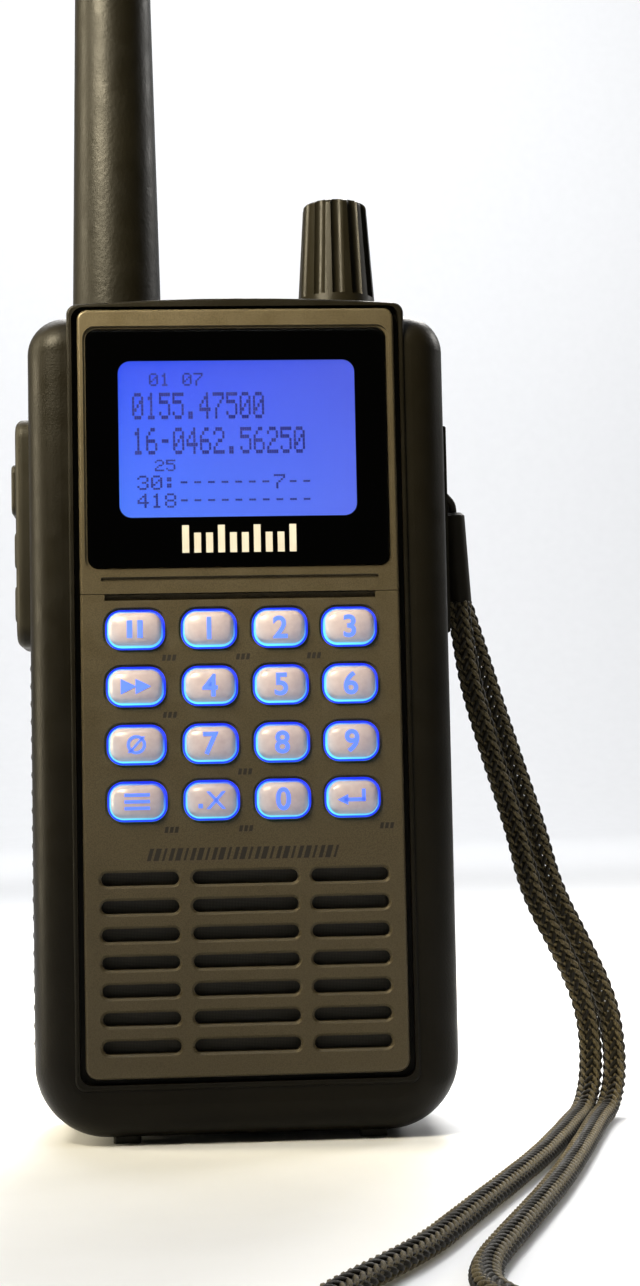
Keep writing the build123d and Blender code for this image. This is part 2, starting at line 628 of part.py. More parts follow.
with BuildPart() as battery_cells:
    for index, x in enumerate((-CELL_PITCH, 0, CELL_PITCH)):
        low = CELL_LOW if index != 1 else TRAY_LOW + 1.4
        nub = low if index == 1 else low + CELL_LENGTH - 1.2
        body_low = low + 1.2 if index == 1 else low
        post(x, CELL_DEPTH, body_low, body_low + CELL_LENGTH - 1.2, CELL_RADIUS)
        post(x, CELL_DEPTH, nub, nub + 1.2, 2.7)
write(battery_cells, "battery_cells")

spring_room = TRAY_TOP - 1.4 - CELL_LOW - CELL_LENGTH
with BuildPart() as battery_springs:
    for index, x in enumerate((-CELL_PITCH, 0, CELL_PITCH)):
        low = TRAY_LOW + 1.4 if index != 1 else TRAY_LOW + 1.4 + CELL_LENGTH
        room = CELL_LOW - TRAY_LOW - 1.4 if index != 1 else TRAY_TOP - 1.4 - low
        for coil in range(3):
            with Locations(Location((x, FRONT + CELL_DEPTH, low + 0.3 + coil * (room - 0.6) / 2))):
                Torus(4.2 - 0.6 * (coil if index != 1 else 2 - coil), 0.29)
write(battery_springs, "battery_springs")

with BuildPart() as battery_contacts:
    for x in (-CELL_PITCH, 0, CELL_PITCH):
        for low in (TRAY_LOW + 1, TRAY_TOP - 1.4):
            with BuildSketch(above(x, CELL_DEPTH, low)):
                Rectangle(12.0, 11.0)
            extrude(amount=0.4)
write(battery_contacts, "battery_contacts")

# ---- Belt clip ----
ear_inner = CLIP_HALF + 0.4
with BuildPart() as clip_base:
    slab(CLIP_PIN_Z - 12, CLIP_PIN_Z + 10, ear_inner + EAR_THICK, BODY_DEPTH, BODY_DEPTH + 2.0, corner=1.5)
    for side in (-1, 1):
        with BuildSketch(right_side(side * (ear_inner + EAR_THICK / 2))):
            with Locations((FRONT + CLIP_PIN_DEPTH, CLIP_PIN_Z)):
                Circle(3.0)
            with Locations((FRONT + (BODY_DEPTH + CLIP_PIN_DEPTH) / 2 + 0.5, CLIP_PIN_Z)):
                Rectangle(CLIP_PIN_DEPTH - BODY_DEPTH - 1, 6.0)
            with Locations((FRONT + CLIP_PIN_DEPTH, CLIP_PIN_Z)):
                Circle(CLIP_PIN_RADIUS, mode=Mode.SUBTRACT)
        extrude(amount=EAR_THICK / 2, both=True)
write(clip_base, "clip_base")

with BuildPart() as clip_pin:
    with BuildSketch(right_side(0)):
        with Locations((FRONT + CLIP_PIN_DEPTH, CLIP_PIN_Z)):
            Circle(CLIP_PIN_RADIUS)
    extrude(amount=ear_inner + EAR_THICK, both=True)
write(clip_pin, "clip_pin")

clip_back = BODY_DEPTH + CLIP_DEPTH
with BuildPart() as belt_clip:
    with BuildSketch(right_side(0)):
        with BuildLine():
            Polyline(
                (FRONT + clip_back - CLIP_PLATE, CLIP_TOP),
                (FRONT + clip_back - CLIP_PLATE, CLIP_LOW + 8),
                (FRONT + BODY_DEPTH + 5.2, CLIP_LOW + 4),
                (FRONT + BODY_DEPTH + 5.6, CLIP_LOW + 1.5),
                (FRONT + clip_back - 0.6, CLIP_LOW),
                (FRONT + clip_back, CLIP_LOW + 8),
                (FRONT + clip_back, CLIP_TOP - 6),
                (FRONT + clip_back - 1.2, CLIP_TOP),
                close=True,
            )
        make_face()
    extrude(amount=CLIP_HALF, both=True)
    with BuildSketch(right_side(0)):
        with Locations((FRONT + CLIP_PIN_DEPTH, CLIP_PIN_Z)):
            Circle(2.4)
        with Locations((FRONT + (CLIP_PIN_DEPTH + clip_back - CLIP_PLATE) / 2 + 0.2, CLIP_PIN_Z)):
            Rectangle(clip_back - CLIP_PLATE - CLIP_PIN_DEPTH + 0.4, 4.8)
    extrude(amount=CLIP_HALF, both=True)
    with BuildSketch(right_side(0)):
        with Locations((FRONT + CLIP_PIN_DEPTH, CLIP_PIN_Z)):
            Circle(3.1)
    extrude(amount=3.2, both=True, mode=Mode.SUBTRACT)
    with BuildSketch(right_side(0)):
        with Locations((FRONT + CLIP_PIN_DEPTH, CLIP_PIN_Z)):
            Circle(CLIP_PIN_RADIUS + RUNNING)
    extrude(amount=CLIP_HALF + 1, both=True, mode=Mode.SUBTRACT)
write(belt_clip, "belt_clip")

with BuildPart() as clip_spring:
    for coil in range(5):
        with Locations(Location((-2.4 + 1.2 * coil, FRONT + CLIP_PIN_DEPTH, CLIP_PIN_Z), (0, 90, 0))):
            Torus(1.9, 0.4)
write(clip_spring, "clip_spring")

# ---- Fasteners and feet ----
with BuildPart() as case_screws:
    for side in (-1, 1):
        for height in BOSS_HEIGHTS:
            pillar(side * BOSS_X, height, SCREW_RADIUS, 9.0, BODY_DEPTH - 1.8)
            pillar(side * BOSS_X, height, SCREW_HEAD, BODY_DEPTH - 1.8, BODY_DEPTH - 0.6)
            for angle in (0, 90):
                with BuildSketch(facing(BODY_DEPTH - 1.1)):
                    with Locations(Location((side * BOSS_X, height, 0), angle)):
                        Rectangle(2.0, 0.45)
                extrude(amount=-1, mode=Mode.SUBTRACT)
write(case_screws, "case_screws")

with BuildPart() as rubber_feet:
    for x in (-17.5, 18.0):
        for depth in (6.5, 24.5):
            with BuildSketch(above(x, depth, 0)):
                RectangleRounded(3.9, 3.4, 0.6)
            extrude(amount=BODY_BOTTOM)
write(rubber_feet, "rubber_feet")


# ---- Wrist strap ----
def bend_radii(points):
    """Largest tangent arcs: 0.45 of the shorter run over the tangent of half the turn."""
    radii = []
    for before, here, after in zip(points, points[1:], points[2:]):
        run_in = Vector(*here) - Vector(*before)
        run_out = Vector(*after) - Vector(*here)
        turn = radians(run_in.get_angle(run_out))
        radii.append(0.45 * min(run_in.length, run_out.length) / tan(turn / 2))
    return radii


def route_tube(points, radius):
    """Round tube along straight runs and tangent arcs, in the part that is open."""
    with BuildLine() as route:
        FilletPolyline(*points, radius=bend_radii(points))
    with BuildSketch(Plane(origin=points[0], z_dir=Vector(*points[1]) - Vector(*points[0]))) as section:
        Circle(radius)
    sweep(section.sketch, path=route.wire())
    return route.wire().length


lug_x = BODY_WIDTH / 2 + LUG_REACH - 1.2
STRING_ROUTE = [
    (33.8, FRONT + 22.1, SLEEVE_HIGH),
    (33.6, FRONT + 21.7, SLEEVE_HIGH + 1.5),
    (lug_x + 0.5, FRONT + 20.9, LUG_Z - 0.6),
    (lug_x, FRONT + 23.0, LUG_Z + 0.8),
    (lug_x + 0.5, FRONT + 25.1, LUG_Z - 0.6),
    (33.6, FRONT + 24.3, SLEEVE_HIGH + 1.5),
    (33.8, FRONT + 23.9, SLEEVE_HIGH),
]
with BuildPart() as strap_string:
    route_tube(STRING_ROUTE, STRING_RADIUS)
write(strap_string, "strap_string")

SLEEVE_TOP = (33.8, FRONT + 23.0, SLEEVE_HIGH)
SLEEVE_END = (34.6, FRONT + 23.0, SLEEVE_LOW)
with BuildPart() as strap_sleeve:
    sleeve_plane = Plane(origin=SLEEVE_TOP, x_dir=(0, 1, 0), z_dir=Vector(*SLEEVE_END) - Vector(*SLEEVE_TOP))
    with BuildSketch(sleeve_plane):
        SlotOverall(5.4, 2 * SLEEVE_RADIUS)
    extrude(amount=(Vector(*SLEEVE_END) - Vector(*SLEEVE_TOP)).length)
    chamfer(faces().sort_by(Axis.Z)[-1].edges(), 0.5)
write(strap_sleeve, "strap_sleeve")

CORD_ROUTE = [
    (34.2, 0.9, 78.5),
    (34.9, 0.4, 69.0),
    (38.4, 0.9, 56.0),
    (42.1, 1.4, 44.3),
    (44.4, 1.0, 33.4),
    (48.8, 0.8, 24.8),
    (52.1, 1.5, 17.2),
    (53.0, 1.2, 10.7),
    (52.2, -2.0, 4.9),
    (49.9, -7.7, 1.6),
    (46.7, -17.2, 1.6),
    (43.2, -28.0, 1.6),
    (37.8, -44.0, 1.6),
    (30.9, -61.5, 1.6),
    (23.4, -80.0, 1.6),
    (17.1, -96.0, 1.6),
    (10.2, -108.0, 1.6),
    (4.4, -118.5, 1.6),
    (1.4, -128.0, 1.6),
    (4.5, -138.1, 1.6),
    (14.3, -142.2, 1.6),
    (23.7, -137.4, 1.6),
    (26.1, -127.1, 1.6),
    (20.5, -118.1, 1.6),
    (21.6, -106.5, 1.6),
    (26.2, -93.0, 1.6),
    (31.6, -77.8, 1.6),
    (37.3, -61.0, 1.6),
    (42.5, -44.0, 1.6),
    (47.3, -27.5, 1.6),
    (50.7, -15.6, 1.6),
    (53.7, -7.2, 1.6),
    (56.0, -1.6, 5.0),
    (56.7, 2.0, 10.8),
    (55.8, 3.6, 17.4),
    (52.4, 3.8, 25.2),
    (48.1, 4.3, 33.9),
    (45.5, 4.6, 44.6),
    (41.5, 4.4, 57.0),
    (38.0, 4.7, 69.0),
    (35.1, 4.2, 78.5),
]
with BuildPart() as strap_cord:
    cord_length = route_tube(CORD_ROUTE, CORD_RADIUS)
write(strap_cord, "strap_cord")

print("cord radii", [round(r, 1) for r in bend_radii(CORD_ROUTE)])
print("string radii", [round(r, 1) for r in bend_radii(STRING_ROUTE)])
print("cord length", round(cord_length, 1))
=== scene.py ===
"""The looks of a handheld radio scanner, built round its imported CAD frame. Units are metres."""
import math

import bmesh
import bpy
import numpy as np
from mathutils import Matrix, Vector


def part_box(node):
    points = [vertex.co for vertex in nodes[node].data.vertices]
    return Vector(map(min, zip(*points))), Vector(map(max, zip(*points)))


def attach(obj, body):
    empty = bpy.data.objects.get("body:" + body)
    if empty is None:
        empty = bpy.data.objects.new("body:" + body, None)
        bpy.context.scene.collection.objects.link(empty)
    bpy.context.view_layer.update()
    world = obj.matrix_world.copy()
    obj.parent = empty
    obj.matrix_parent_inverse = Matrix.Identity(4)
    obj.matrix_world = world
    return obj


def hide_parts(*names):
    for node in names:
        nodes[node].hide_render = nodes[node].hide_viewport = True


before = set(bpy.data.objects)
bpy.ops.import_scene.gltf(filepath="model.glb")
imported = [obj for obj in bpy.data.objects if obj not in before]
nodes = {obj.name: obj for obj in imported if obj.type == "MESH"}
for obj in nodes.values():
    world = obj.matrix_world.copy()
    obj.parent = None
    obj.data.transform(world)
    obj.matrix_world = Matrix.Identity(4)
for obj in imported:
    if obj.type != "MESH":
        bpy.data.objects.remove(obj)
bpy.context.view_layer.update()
MM = 0.001

# ---- Places, all worked out from the frame ----
PANEL_LOW, PANEL_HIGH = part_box("keypad_panel")
LENS_LOW, LENS_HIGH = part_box("display_lens")
GLASS_LOW, GLASS_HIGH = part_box("lcd_glass")
FRONT = PANEL_LOW.y
CAP_MARGIN = 0.75 * MM  # from the edge of a key's hidden flange to the edge of its cap
CASE = "case"


# ---- Materials ----
class Finish:
    """A Principled material whose colour, roughness and relief come from procedural nodes."""

    def __init__(self, name, color, roughness, metallic=0.0, specular=0.5):
        self.material = bpy.data.materials.new(name)
        self.material.use_nodes = True
        self.tree = self.material.node_tree
        self.shader = self.tree.nodes["Principled BSDF"]
        self.set("Base Color", (*color, 1.0))
        self.set("Roughness", roughness)
        self.set("Metallic", metallic)
        self.set("Specular IOR Level", specular)
        self.place = self.node("ShaderNodeTexCoord")

    def set(self, socket, value):
        self.shader.inputs[socket].default_value = value

    def node(self, kind, **inputs):
        made = self.tree.nodes.new(kind)
        for socket, value in inputs.items():
            self.feed(made, socket.replace("_", " "), value)
        return made

    def feed(self, made, socket, value):
        if isinstance(value, bpy.types.NodeSocket):
            self.tree.links.new(value, made.inputs[socket])
        else:
            made.inputs[socket].default_value = value

    def drive(self, socket, output):
        self.tree.links.new(output, self.shader.inputs[socket])

    def spot(self, stretch=(1, 1, 1)):
        """Place on the piece, in metres, scaled along each axis."""
        mapping = self.node("ShaderNodeMapping", Vector=self.place.outputs["Object"])
        mapping.inputs["Scale"].default_value = stretch
        return mapping.outputs["Vector"]

    def noise(self, per_metre, detail=2.0, stretch=(1, 1, 1)):
        made = self.node("ShaderNodeTexNoise", Vector=self.spot(stretch), Scale=per_metre, Detail=detail)
        return made.outputs["Fac"]

    def cells(self, per_metre, stretch=(1, 1, 1)):
        made = self.node("ShaderNodeTexVoronoi", Vector=self.spot(stretch), Scale=per_metre)
        return made

    def waves(self, per_metre, axis, distortion=0.0):
        made = self.node("ShaderNodeTexWave", Vector=self.spot(), Scale=per_metre, Distortion=distortion)
        made.bands_direction = axis
        return made.outputs["Fac"]

    def level(self, value, low, high, to_low=0.0, to_high=1.0):
        made = self.node("ShaderNodeMapRange", Value=value)
        for socket, number in zip(("From Min", "From Max", "To Min", "To Max"), (low, high, to_low, to_high)):
            made.inputs[socket].default_value = number
        return made.outputs["Result"]

    def blend(self, factor, first, second):
        made = self.node("ShaderNodeMix")
        made.data_type = "RGBA"
        self.feed(made, 0, factor)
        for socket, value in ((6, first), (7, second)):
            plain = isinstance(value, bpy.types.NodeSocket)
            self.feed(made, socket, value if plain else (*value, 1.0))
        return made.outputs[2]

    def math(self, operation, first, second=0.0):
        made = self.node("ShaderNodeMath")
        made.operation = operation
        self.feed(made, 0, first)
        self.feed(made, 1, second)
        return made.outputs[0]

    def along(self, axis, coordinate="Object"):
        """One coordinate of the place on the piece, or of its own normal."""
        parts = self.node("ShaderNodeSeparateXYZ", Vector=self.place.outputs[coordinate])
        return parts.outputs[axis]

    def color(self, output):
        self.drive("Base Color", output)

    def roughness(self, value, low, high):
        self.drive("Roughness", self.level(value, 0.3, 0.7, low, high))

    def relief(self, height, strength, depth):
        bump = self.node("ShaderNodeBump", Height=height)
        bump.inputs["Strength"].default_value = strength
        bump.inputs["Distance"].default_value = depth
        self.drive("Normal", bump.outputs["Normal"])


def grained(name, dark, light, roughness, grain, depth, strength=0.5, metallic=0.0, specular=0.3):
    """Moulded plastic or rubber: two shades in broad soft patches under a fine grain."""
    made = Finish(name, dark, roughness, metallic, specular)
    made.color(made.blend(made.noise(90.0, 4.0), dark, light))
    fine = made.noise(grain, 3.0)
    made.roughness(made.noise(260.0, 3.0), roughness - 0.06, roughness + 0.08)
    made.relief(fine, strength, depth)
    return made


def bronze_paint():
    """Metallic paint with fine flakes and a faint handling polish."""
    made = Finish("bronze_paint", (0.11, 0.092, 0.062), 0.42, metallic=0.30, specular=0.3)
    flakes = made.cells(5200.0)
    tone = made.level(flakes.outputs["Distance"], 0.05, 0.75)
    shade = made.blend(tone, (0.103, 0.083, 0.048), (0.044, 0.034, 0.018))
    warm = made.blend(made.noise(40.0, 3.0), (0.058, 0.047, 0.027), (0.084, 0.068, 0.038))
    made.color(made.blend(0.5, warm, shade))
    made.roughness(made.noise(420.0, 4.0), 0.34, 0.50)
    made.relief(made.noise(4200.0, 2.0), 0.22, 0.00003)
    return made


def cap_edges(name):
    """Half width and half height of a key's cap, and its middle, in the front view."""
    low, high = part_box(name)
    middle = (low + high) / 2
    return middle.x, middle.z, (high.x - low.x) / 2 - CAP_MARGIN, (high.z - low.z) / 2 - CAP_MARGIN


def key_paint(name):
    """A silver pillow top on a translucent cap, lit blue from below and brightest towards its lower left."""
    x, z, wide, tall = cap_edges(name)
    made = Finish(f"{name}_paint", (0.3, 0.3, 0.33), 0.27)
    across = made.level(made.along("X"), x - wide, x + wide, -1.0, 1.0)
    up = made.level(made.along("Z"), z - tall, z + tall, -1.0, 1.0)
    facing = made.level(made.along("Y", "Normal"), -0.45, -0.78)
    edge = made.math("MAXIMUM", made.math("POWER", made.math("ABSOLUTE", across), 4.0),
                     made.math("POWER", made.math("ABSOLUTE", up), 4.0))
    silver = made.blend(made.noise(900.0, 3.0), (0.36, 0.29, 0.275), (0.50, 0.42, 0.40))
    made.color(made.blend(facing, (0.04, 0.20, 0.60), silver))
    leaning = made.level(made.math("ADD", across, made.math("MULTIPLY", up, 1.5)), 1.6, -1.8)
    rim = made.blend(leaning, (0.030, 0.020, 0.62), (0.16, 0.85, 1.0))
    inner = made.blend(made.math("MULTIPLY", edge, leaning), (0.024, 0.050, 0.20), (0.10, 0.62, 0.95))
    made.drive("Emission Color", made.blend(facing, rim, inner))
    made.drive("Emission Strength", made.level(facing, 0.0, 1.0, 1.15, 0.42))
    dome = made.math("MULTIPLY", made.math("ADD", made.math("POWER", made.math("ABSOLUTE", across), 2.4),
                                           made.math("POWER", made.math("ABSOLUTE", up), 2.4)), -1.0)
    made.relief(made.math("ADD", dome, made.math("MULTIPLY", made.noise(2600.0, 2.0), 0.02)), 1.0, 0.0009)
    return made


def lcd_panel():
    """Blue backlit panel: its light comes in from the sides, and a fine grid of dots lies over it."""
    made = Finish("lcd_panel", (0.02, 0.03, 0.20), 0.25)
    across = made.level(made.along("X"), GLASS_LOW.x, GLASS_HIGH.x)
    up = made.level(made.along("Z"), GLASS_LOW.z, GLASS_HIGH.z)
    top = made.blend(across, (0.010, 0.046, 0.82), (0.070, 0.090, 0.60))
    low = made.blend(across, (0.078, 0.235, 0.98), (0.115, 0.175, 0.80))
    patches = made.blend(made.noise(70.0, 2.0), (0.070, 0.105, 0.70), (0.055, 0.140, 0.95))
    made.drive("Emission Color", made.blend(0.20, made.blend(up, low, top), patches))
    made.set("Emission Strength", 1.0)
    grid = made.math("MAXIMUM", made.waves(520.0, "X"), made.waves(520.0, "Z"))
    made.relief(grid, 0.1, 0.00002)
    return made


def lit(name, color, strength, roughness=0.5):
    """A surface that gives light of its own, uneven over its area."""
    made = Finish(name, color, roughness)
    dim = tuple(0.72 * c for c in color)
    made.drive("Emission Color", made.blend(made.noise(700.0, 2.0), dim, color))
    made.set("Emission Strength", strength)
    return made


def clear_lens():
    made = Finish("clear_lens", (1.0, 1.0, 1.0), 0.03)
    made.set("Transmission Weight", 1.0)
    made.set("IOR", 1.45)
    made.drive("Roughness", made.level(made.noise(160.0, 3.0), 0.3, 0.7, 0.015, 0.05))
    return made


def plated(name, color, roughness, grain=(1, 1, 30)):
    """Bare or plated metal with fine turning or rolling lines."""
    made = Finish(name, color, roughness, metallic=1.0)
    lines = made.noise(900.0, 3.0, grain)
    made.color(made.blend(lines, tuple(0.82 * c for c in color), color))
    made.roughness(lines, roughness - 0.06, roughness + 0.10)
    made.relief(lines, 0.15, 0.00002)
    return made


def circuit_board():
    """Green solder mask over a maze of tracks."""
    made = Finish("circuit_board", (0.012, 0.075, 0.035), 0.35)
    tracks = made.cells(900.0, (1, 1, 2))
    tracks.distance = "MANHATTAN"
    made.color(made.blend(made.level(tracks.outputs["Distance"], 0.2, 0.3), (0.03, 0.16, 0.08),
                          (0.010, 0.070, 0.030)))
    made.relief(tracks.outputs["Distance"], 0.2, 0.00003)
    return made


def woven(name, dark, light, per_metre):
    """Fine cloth."""
    made = Finish(name, dark, 0.85)
    weave = made.math("MULTIPLY", made.waves(per_metre, "X", 0.4), made.waves(per_metre, "Z", 0.4))
    made.color(made.blend(weave, dark, light))
    made.set("Sheen Weight", 0.3)
    made.relief(weave, 0.6, 0.00006)
    return made


def yarn(name, dark, light):
    """Spun nylon, with fibres. The lighter make is painted highlight: its strands stand in for the highlight
    dots along the braid.
    """
    made = Finish(name, dark, 0.62, specular=0.15)
    fibres = made.noise(5200.0, 3.0, (1, 1, 0.35))
    made.color(made.blend(made.level(fibres, 0.35, 0.7), dark, light))
    made.set("Sheen Weight", 0.08)
    made.set("Sheen Roughness", 0.4)
    made.roughness(fibres, 0.48, 0.72)
    made.relief(fibres, 0.7, 0.00004)
    return made


shell = grained("black_shell", (0.0042, 0.0035, 0.0019), (0.0078, 0.0065, 0.0036), 0.40, 3000.0, 0.00006, 0.6,
                specular=0.10)
pod = grained("side_rubber", (0.0075, 0.0064, 0.0033), (0.0125, 0.0106, 0.0056), 0.52, 2400.0, 0.00005,
              specular=0.16)
sheath = grained("antenna_rubber", (0.0028, 0.0024, 0.0013), (0.0056, 0.0048, 0.0026), 0.42, 1500.0,
                 0.00008, 0.55, specular=0.12)
knob_finish = grained("knob_plastic", (0.006, 0.0052, 0.0030), (0.011, 0.0094, 0.0056), 0.36, 2600.0,
                      0.00004, 0.3, specular=0.12)
black = grained("black_plastic", (0.0045, 0.0042, 0.0034), (0.0065, 0.0060, 0.0050), 0.42, 2200.0,
                0.00001, 0.2)
cone_paper = grained("cone_paper", (0.014, 0.013, 0.011), (0.022, 0.021, 0.018), 0.85, 1500.0, 0.00008)
feet = grained("foot_rubber", (0.010, 0.010, 0.008), (0.018, 0.017, 0.013), 0.75, 2000.0, 0.00005)
sleeve = grained("sleeve_plastic", (0.006, 0.0050, 0.0026), (0.011, 0.0092, 0.0048), 0.46, 2300.0, 0.00005,
                 specular=0.16)
jacket = grained("cell_jacket", (0.07, 0.08, 0.09), (0.10, 0.11, 0.12), 0.35, 1200.0, 0.00003)
bronze = bronze_paint()
legend = lit("key_legend", (0.075, 0.16, 0.85), 0.85)
lcd = lcd_panel()
lcd_ink = lit("lcd_ink", (0.011, 0.016, 0.16), 1.0, 0.6)
light_guide = lit("light_guide", (0.75, 0.82, 1.0), 0.8)
key_light = lit("key_light", (0.020, 0.045, 0.80), 1.0)
lens = clear_lens()
steel = plated("plated_steel", (0.62, 0.61, 0.58), 0.30)
dark_steel = plated("blackened_steel", (0.15, 0.145, 0.14), 0.42)
tin = plated("tinned_steel", (0.70, 0.70, 0.68), 0.36, (1, 8, 1))
brass = plated("brass", (0.72, 0.52, 0.22), 0.28)
board = circuit_board()
cloth = woven("speaker_cloth", (0.010, 0.009, 0.006), (0.040, 0.034, 0.022), 1500.0)
silver_print = grained("silver_print", (0.66, 0.62, 0.54), (0.78, 0.74, 0.66), 0.36, 2000.0, 0.00001, 0.3,
                       metallic=0.35)
dark_print = grained("dark_print", (0.010, 0.008, 0.006), (0.016, 0.013, 0.010), 0.6, 2000.0, 0.00001)
dark_yarn = yarn("dark_yarn", (0.0050, 0.0038, 0.0014), (0.014, 0.0108, 0.0042))
# Painted highlight: strands in this lighter yarn stand in for the highlight dots along the braid.
painted_highlight_yarn = yarn("painted_highlight_yarn", (0.036, 0.028, 0.012), (0.150, 0.120, 0.062))

FINISHES = {
    shell: ["front_shell", "rear_shell", "battery_door", "clip_base", "belt_clip"],
    bronze: ["display_bezel", "keypad_panel"],
    lens: ["display_lens"],
    black: ["display_mask", "dc_jack", "data_jack", "headphone_jack", "encoder_body"],
    lcd: ["lcd_glass"],
    light_guide: ["lcd_backlight"],
    key_light: ["keypad_mat"],
    pod: ["side_key_frame", "side_key_function", "side_key_menu", "side_key_light", "jack_cover"],
    steel: ["snap_domes", "speaker_frame", "encoder_plunger", "encoder_shaft", "battery_springs",
            "battery_contacts", "clip_pin", "clip_spring"],
    dark_steel: ["case_screws"],
    tin: ["shield_cans"],
    brass: ["antenna_socket", "antenna_ferrule"],
    board: ["front_board", "main_board"],
    cone_paper: ["speaker_cone"],
    cloth: ["speaker_cloth"],
    sheath: ["antenna_sheath"],
    knob_finish: ["volume_knob"],
    jacket: ["battery_cells"],
    feet: ["rubber_feet"],
    sleeve: ["strap_sleeve"],
    dark_yarn: ["strap_string", "strap_cord"],
}


def dress(obj, finish):
    """Give an object a finish, in place of those it came with. A new mesh keeps its faces' slots."""
    if obj.data.materials:
        obj.data.materials.clear()
    obj.data.materials.append(finish.material)


KEYS = [name for name in nodes if name.startswith("key_")]
for finish, names in FINISHES.items():
    for name in names:
        dress(nodes[name], finish)
for name in KEYS:
    dress(nodes[name], key_paint(name))


# ---- Making pieces ----
def piece(name, mesh, finish, body):
    """Link a finished mesh as a piece of the object that rides on a body."""
    obj = bpy.data.objects.new(name, mesh)
    bpy.context.scene.collection.objects.link(obj)
    dress(obj, finish)
    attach(obj, body)
    return obj


def prism(made, outline, y_front, y_back):
    """Add a closed prism to a bmesh: an outline in the front view, between two y."""
    front = [made.verts.new((x, y_front, z)) for x, z in outline]
    back = [made.verts.new((x, y_back, z)) for x, z in outline]
    made.faces.new(front)
    made.faces.new(back[::-1])
    for i in range(len(outline)):
        j = (i + 1) % len(outline)
        made.faces.new((front[j], front[i], back[i], back[j]))


def finish_mesh(made, name):
    """Turn a bmesh into a mesh, with its faces outwards."""
    bmesh.ops.recalc_face_normals(made, faces=made.faces)
    mesh = bpy.data.meshes.new(name)
    made.to_mesh(mesh)
    made.free()
    return mesh


def bar(x, z, width, height, lean=0.0, radius=0.0):
    """Outline of an upright bar, with square or round corners, leaning by a slope."""
    corners = []
    for turn, side_x, side_z in ((0, 1, 1), (90, -1, 1), (180, -1, -1), (270, 1, -1)):
        middle_x, middle_z = side_x * (width / 2 - radius), side_z * (height / 2 - radius)
        for step in range(0, 91, 15) if radius else (0,):
            angle = math.radians(turn + step)
            corners.append((middle_x + radius * math.cos(angle), middle_z + radius * math.sin(angle)))
    return [(x + a + lean * b, z + b) for a, b in corners]


def printed(name, outlines, y, thickness, finish, body):
    """Thin raised marks, facing forward, as one piece."""
    made = bmesh.new()
    for outline in outlines:
        prism(made, outline, y - thickness, y + thickness)
    return piece(name, finish_mesh(made, name), finish, body)


# ---- Wrist strap ----
STRAP_ROUTE = [
    (34.2, 0.9, 78.5), (34.9, 0.4, 69.0), (38.4, 0.9, 56.0), (42.1, 1.4, 44.3), (44.4, 1.0, 33.4),
    (48.8, 0.8, 24.8), (52.1, 1.5, 17.2), (53.0, 1.2, 10.7), (52.2, -2.0, 4.9), (49.9, -7.7, 1.6),
    (46.7, -17.2, 1.6), (43.2, -28.0, 1.6), (37.8, -44.0, 1.6), (30.9, -61.5, 1.6), (23.4, -80.0, 1.6),
    (17.1, -96.0, 1.6), (10.2, -108.0, 1.6), (4.4, -118.5, 1.6), (1.4, -128.0, 1.6), (4.5, -138.1, 1.6),
    (14.3, -142.2, 1.6), (23.7, -137.4, 1.6), (26.1, -127.1, 1.6), (20.5, -118.1, 1.6), (21.6, -106.5, 1.6),
    (26.2, -93.0, 1.6), (31.6, -77.8, 1.6), (37.3, -61.0, 1.6), (42.5, -44.0, 1.6), (47.3, -27.5, 1.6),
    (50.7, -15.6, 1.6), (53.7, -7.2, 1.6), (56.0, -1.6, 5.0), (56.7, 2.0, 10.8), (55.8, 3.6, 17.4),
    (52.4, 3.8, 25.2), (48.1, 4.3, 33.9), (45.5, 4.6, 44.6), (41.5, 4.4, 57.0), (38.0, 4.7, 69.0),
    (35.1, 4.2, 78.5),
]
STRAP_WIDE = 3.7 * MM
STRAP_THICK = 2.8 * MM
STRANDS = 16
STRAND_RADIUS = 0.34 * MM
BRAID_LAY = 13.0 * MM  # length of one turn of a strand
BRAID_INSET = 1.6 * STRAND_RADIUS  # from the strap's edge to the middle line of a strand
BRAID_LIFT = 0.55 * STRAND_RADIUS  # how far a strand rises and dips as it weaves
STRAND_SIDES = 6
STEPS_PER_TURN = 32


def smooth_line(name, points, step):
    """Points along the NURBS line of a route, evenly spaced."""
    curve = bpy.data.curves.new(name, "CURVE")
    curve.dimensions = "3D"
    spline = curve.splines.new("NURBS")
    spline.points.add(len(points) - 1)
    for control, point in zip(spline.points, points):
        control.co = (*(MM * c for c in point), 1.0)
    spline.order_u = 3
    spline.use_endpoint_u = True
    spline.resolution_u = 24
    holder = bpy.data.objects.new(name, curve)
    mesh = bpy.data.meshes.new_from_object(holder)
    line = np.array([v.co for v in mesh.vertices])
    bpy.data.objects.remove(holder)
    bpy.data.meshes.remove(mesh)
    run = np.concatenate([[0.0], np.cumsum(np.linalg.norm(np.diff(line, axis=0), axis=1))])
    count = max(2, int(round(run[-1] / step)) + 1)
    places = np.linspace(0.0, run[-1], count)
    return np.stack([np.interp(places, run, line[:, axis]) for axis in range(3)], axis=1), run[-1]


def carried_frames(line, middle_up):
    """Tangent, wide axis and thin axis along a line, carried without twist from its middle."""
    tangents = np.gradient(line, axis=0)
    tangents /= np.linalg.norm(tangents, axis=1)[:, None]
    thin = np.zeros_like(line)
    middle = len(line) // 2
    thin[middle] = middle_up
    for direction in (1, -1):
        previous = np.array(middle_up, float)
        end = len(line) if direction > 0 else -1
        for i in range(middle, end, direction):
            flat = previous - tangents[i] * np.dot(previous, tangents[i])
            previous = flat / np.linalg.norm(flat)
            thin[i] = previous
    return tangents, np.cross(tangents, thin), thin


